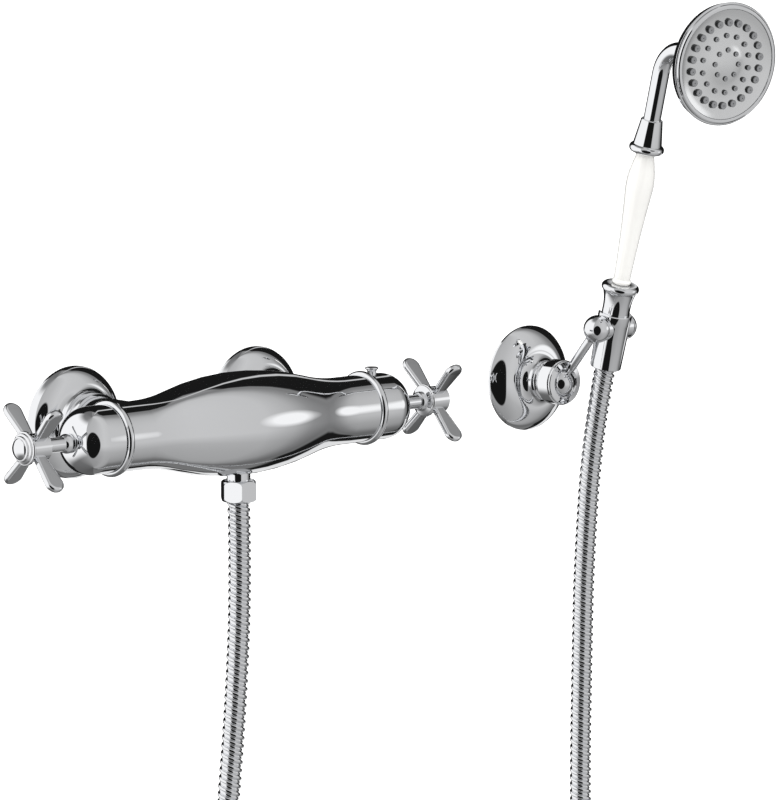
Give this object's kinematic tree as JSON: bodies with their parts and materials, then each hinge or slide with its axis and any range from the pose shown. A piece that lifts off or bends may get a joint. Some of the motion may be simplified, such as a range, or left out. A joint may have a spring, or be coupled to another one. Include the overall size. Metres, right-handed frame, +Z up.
{
  "type": "shower mixer with hand shower",
  "caption": "Wall-mounted thermostatic shower mixer with cross handles, a metal hose and a hand shower with a porcelain grip in a swivelling wall bracket.",
  "frame": {"origin": "on the wall plane, midway between the two inlet unions", "axes": "+X along the mixer towards the temperature handle and the bracket, +Y into the wall, +Z up"},
  "size_m": [0.5429, 0.2096, 0.809],
  "materials": {
    "chrome": "bright chrome plate",
    "hose_metal": "chromed double-lock metal hose",
    "face_plate_chrome": "satin chrome plate",
    "brass": "machined",
    "rubber": "moulded",
    "nozzle_rubber": "moulded silicone",
    "white_acetal": "moulded",
    "white_ceramic": "lapped ceramic",
    "porcelain": "white glazed porcelain",
    "spring_steel": "plain steel"
  },
  "bodies": {
    "root": {"mixer_body": "chrome", "left_stop_ring": "chrome", "right_stop_ring": "chrome", "left_wall_flange": "chrome", "right_wall_flange": "chrome", "left_wall_union": "brass", "right_wall_union": "brass", "left_union_nut": "chrome", "right_union_nut": "chrome", "inlet_washers": "rubber", "check_valves": "white_acetal", "outlet_nipple": "chrome", "hose_nut": "chrome", "hose_nut_washer": "rubber", "thermostat_housing": "brass", "wax_element": "brass", "mixing_piston": "brass", "piston_spring": "spring_steel", "flow_cartridge_housing": "brass", "fixed_ceramic_disc": "white_ceramic", "holder_wall_plate": "brass", "holder_wall_flange": "chrome", "swivel_housing": "chrome", "swivel_ring_nut": "chrome", "rear_ball_seat": "white_acetal", "front_ball_seat": "white_acetal", "hose_supply_run": "hose_metal", "hose_loop_run": "hose_metal", "hose_rising_run": "hose_metal", "hose_top_run": "hose_metal"},
    "flow_handle": {"flow_sleeve": "chrome", "flow_spindle": "chrome", "flow_cross_handle": "chrome", "flow_index_cap": "chrome", "moving_ceramic_disc": "white_ceramic", "flow_handle_screw": "spring_steel"},
    "temperature_handle": {"temperature_sleeve": "chrome", "temperature_spindle": "chrome", "temperature_cross_handle": "chrome", "temperature_hub_ring": "chrome", "temperature_index_cap": "chrome", "temperature_handle_screw": "spring_steel", "button_spring": "spring_steel"},
    "button": {"safety_button": "chrome"},
    "arm": {"holder_arm": "chrome", "pivot_screw": "spring_steel", "pivot_washer": "white_acetal"},
    "holder": {"handset_holder": "chrome", "holder_side_plug": "chrome"},
    "handset": {"hose_cone_nut": "chrome", "cone_nut_washer": "rubber", "grip_core_tube": "brass", "handset_collar": "chrome", "porcelain_grip": "porcelain", "upper_ferrule": "chrome", "bent_neck_tube": "chrome", "spray_head_shell": "chrome", "nozzle_mat": "nozzle_rubber", "spray_face_plate": "face_plate_chrome"}
  },
  "joints": [
    {"name": "flow_turn", "type": "hinge", "parent": "root", "child": "flow_handle", "pos_m": [-0.11, -0.074, 0], "axis": [-1, 0, 0], "range_deg": [0, 90]},
    {"name": "temperature_turn", "type": "hinge", "parent": "root", "child": "temperature_handle", "pos_m": [0.11, -0.074, 0], "axis": [1, 0, 0], "range_deg": [-150, 40]},
    {"name": "button_press", "type": "slide", "parent": "temperature_handle", "child": "button", "axis": [0, 0, -1], "range_m": [0, 0.0018], "stiffness_N_per_m": 800, "springref_m": -0.002, "deforming": ["button_spring"]},
    {"name": "arm_swing", "type": "hinge", "parent": "root", "child": "arm", "pos_m": [0.32, -0.0347, -0.006], "axis": [0, 1, 0], "range_deg": [-35, 35], "deforming": ["hose_loop_run"]},
    {"name": "holder_tilt", "type": "hinge", "parent": "arm", "child": "holder", "pos_m": [0.3345, -0.0693, 0.0335], "axis": [1, 0, 0], "range_deg": [-30, 15], "deforming": ["hose_rising_run"]},
    {"name": "handset_lift", "type": "slide", "parent": "holder", "child": "handset", "axis": [0, -0.2453, 0.9694], "range_m": [0, 0.045], "deforming": ["hose_top_run"]}
  ]
}
